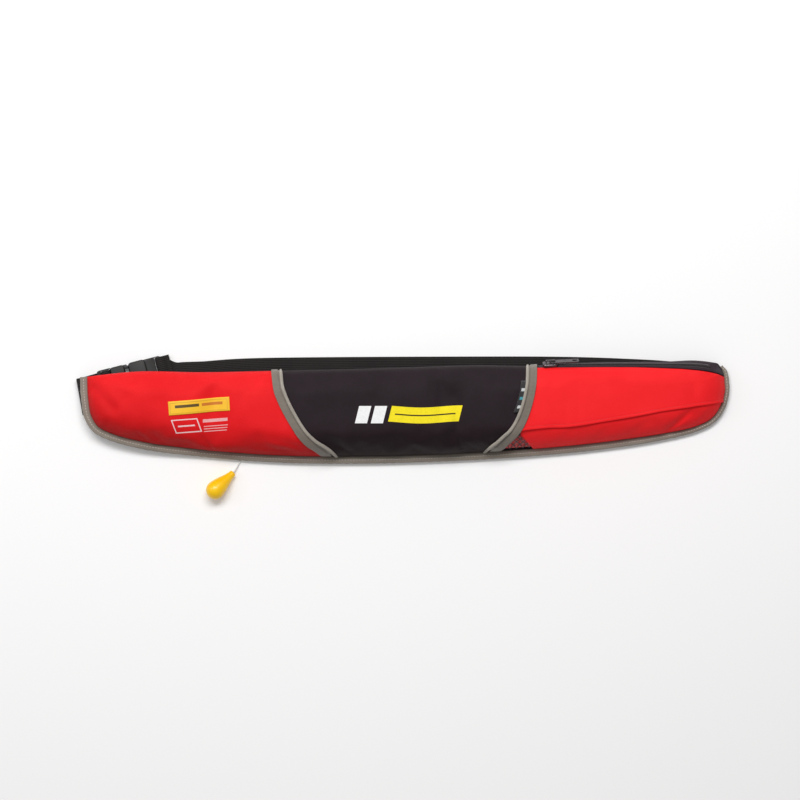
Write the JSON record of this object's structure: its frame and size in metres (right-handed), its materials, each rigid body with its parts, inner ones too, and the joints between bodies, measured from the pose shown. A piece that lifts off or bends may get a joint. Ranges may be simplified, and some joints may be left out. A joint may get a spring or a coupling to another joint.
{
  "type": "inflatable belt pack",
  "caption": "Slim padded waist pouch holding a folded inflatable bladder, with a webbing belt, side-release buckle, small zip pocket and a yellow pull knob on a short cord.",
  "frame": {"origin": "centre of the bounding box's base, measured without the pull cord and its knob, on the plane that the pack's back and belt lie on", "axes": "+X along the belt towards the zip pocket's end, +Y towards the pouch's top edge, +Z out of the front panels"},
  "size_m": [0.705, 0.1548, 0.0403],
  "materials": {
    "red_fabric": "fine woven nylon",
    "black_fabric": "fine woven nylon",
    "dark_fabric": "coated woven nylon",
    "grey_tape": "ribbed binding tape",
    "webbing": "ribbed polyester webbing",
    "buckle_plastic": "satin moulded",
    "net": "open knitted mesh",
    "label": "woven label",
    "tab": "woven ribbon",
    "bladder": "folded coated fabric",
    "zip_nylon": "moulded nylon",
    "zip_metal": "dark painted with worn edges",
    "knob_plastic": "smooth moulded",
    "cord": "braided cord",
    "eyelet": "dark plated"
  },
  "bodies": {
    "pack": {"front_left_panel": "red_fabric", "front_centre_panel": "black_fabric", "front_right_flap": "red_fabric", "front_right_lower_panel": "red_fabric", "drain_net": "net", "top_gusset": "dark_fabric", "back_panel": "dark_fabric", "perimeter_binding": "grey_tape", "trim_left": "grey_tape", "trim_right": "grey_tape", "side_tab": "tab", "front_label": "label", "folded_bladder": "bladder", "zip_coil": "zip_nylon", "zip_slider": "zip_metal", "buckle_male": "buckle_plastic", "buckle_female": "buckle_plastic", "side_strap": "webbing", "belt_webbing": "webbing", "cord_eyelet": "eyelet", "pull_knob": "knob_plastic", "pull_cord": "cord"},
    "zip_pull": {"zip_pull_tab": "zip_metal"}
  },
  "joints": [
    {"name": "zip_pull_hinge", "type": "hinge", "parent": "pack", "child": "zip_pull", "pos_m": [0.15799, 0.05114, 0.02786], "axis": [0.1045, -0.4896, 0.8656], "range_deg": [0, 170]}
  ]
}
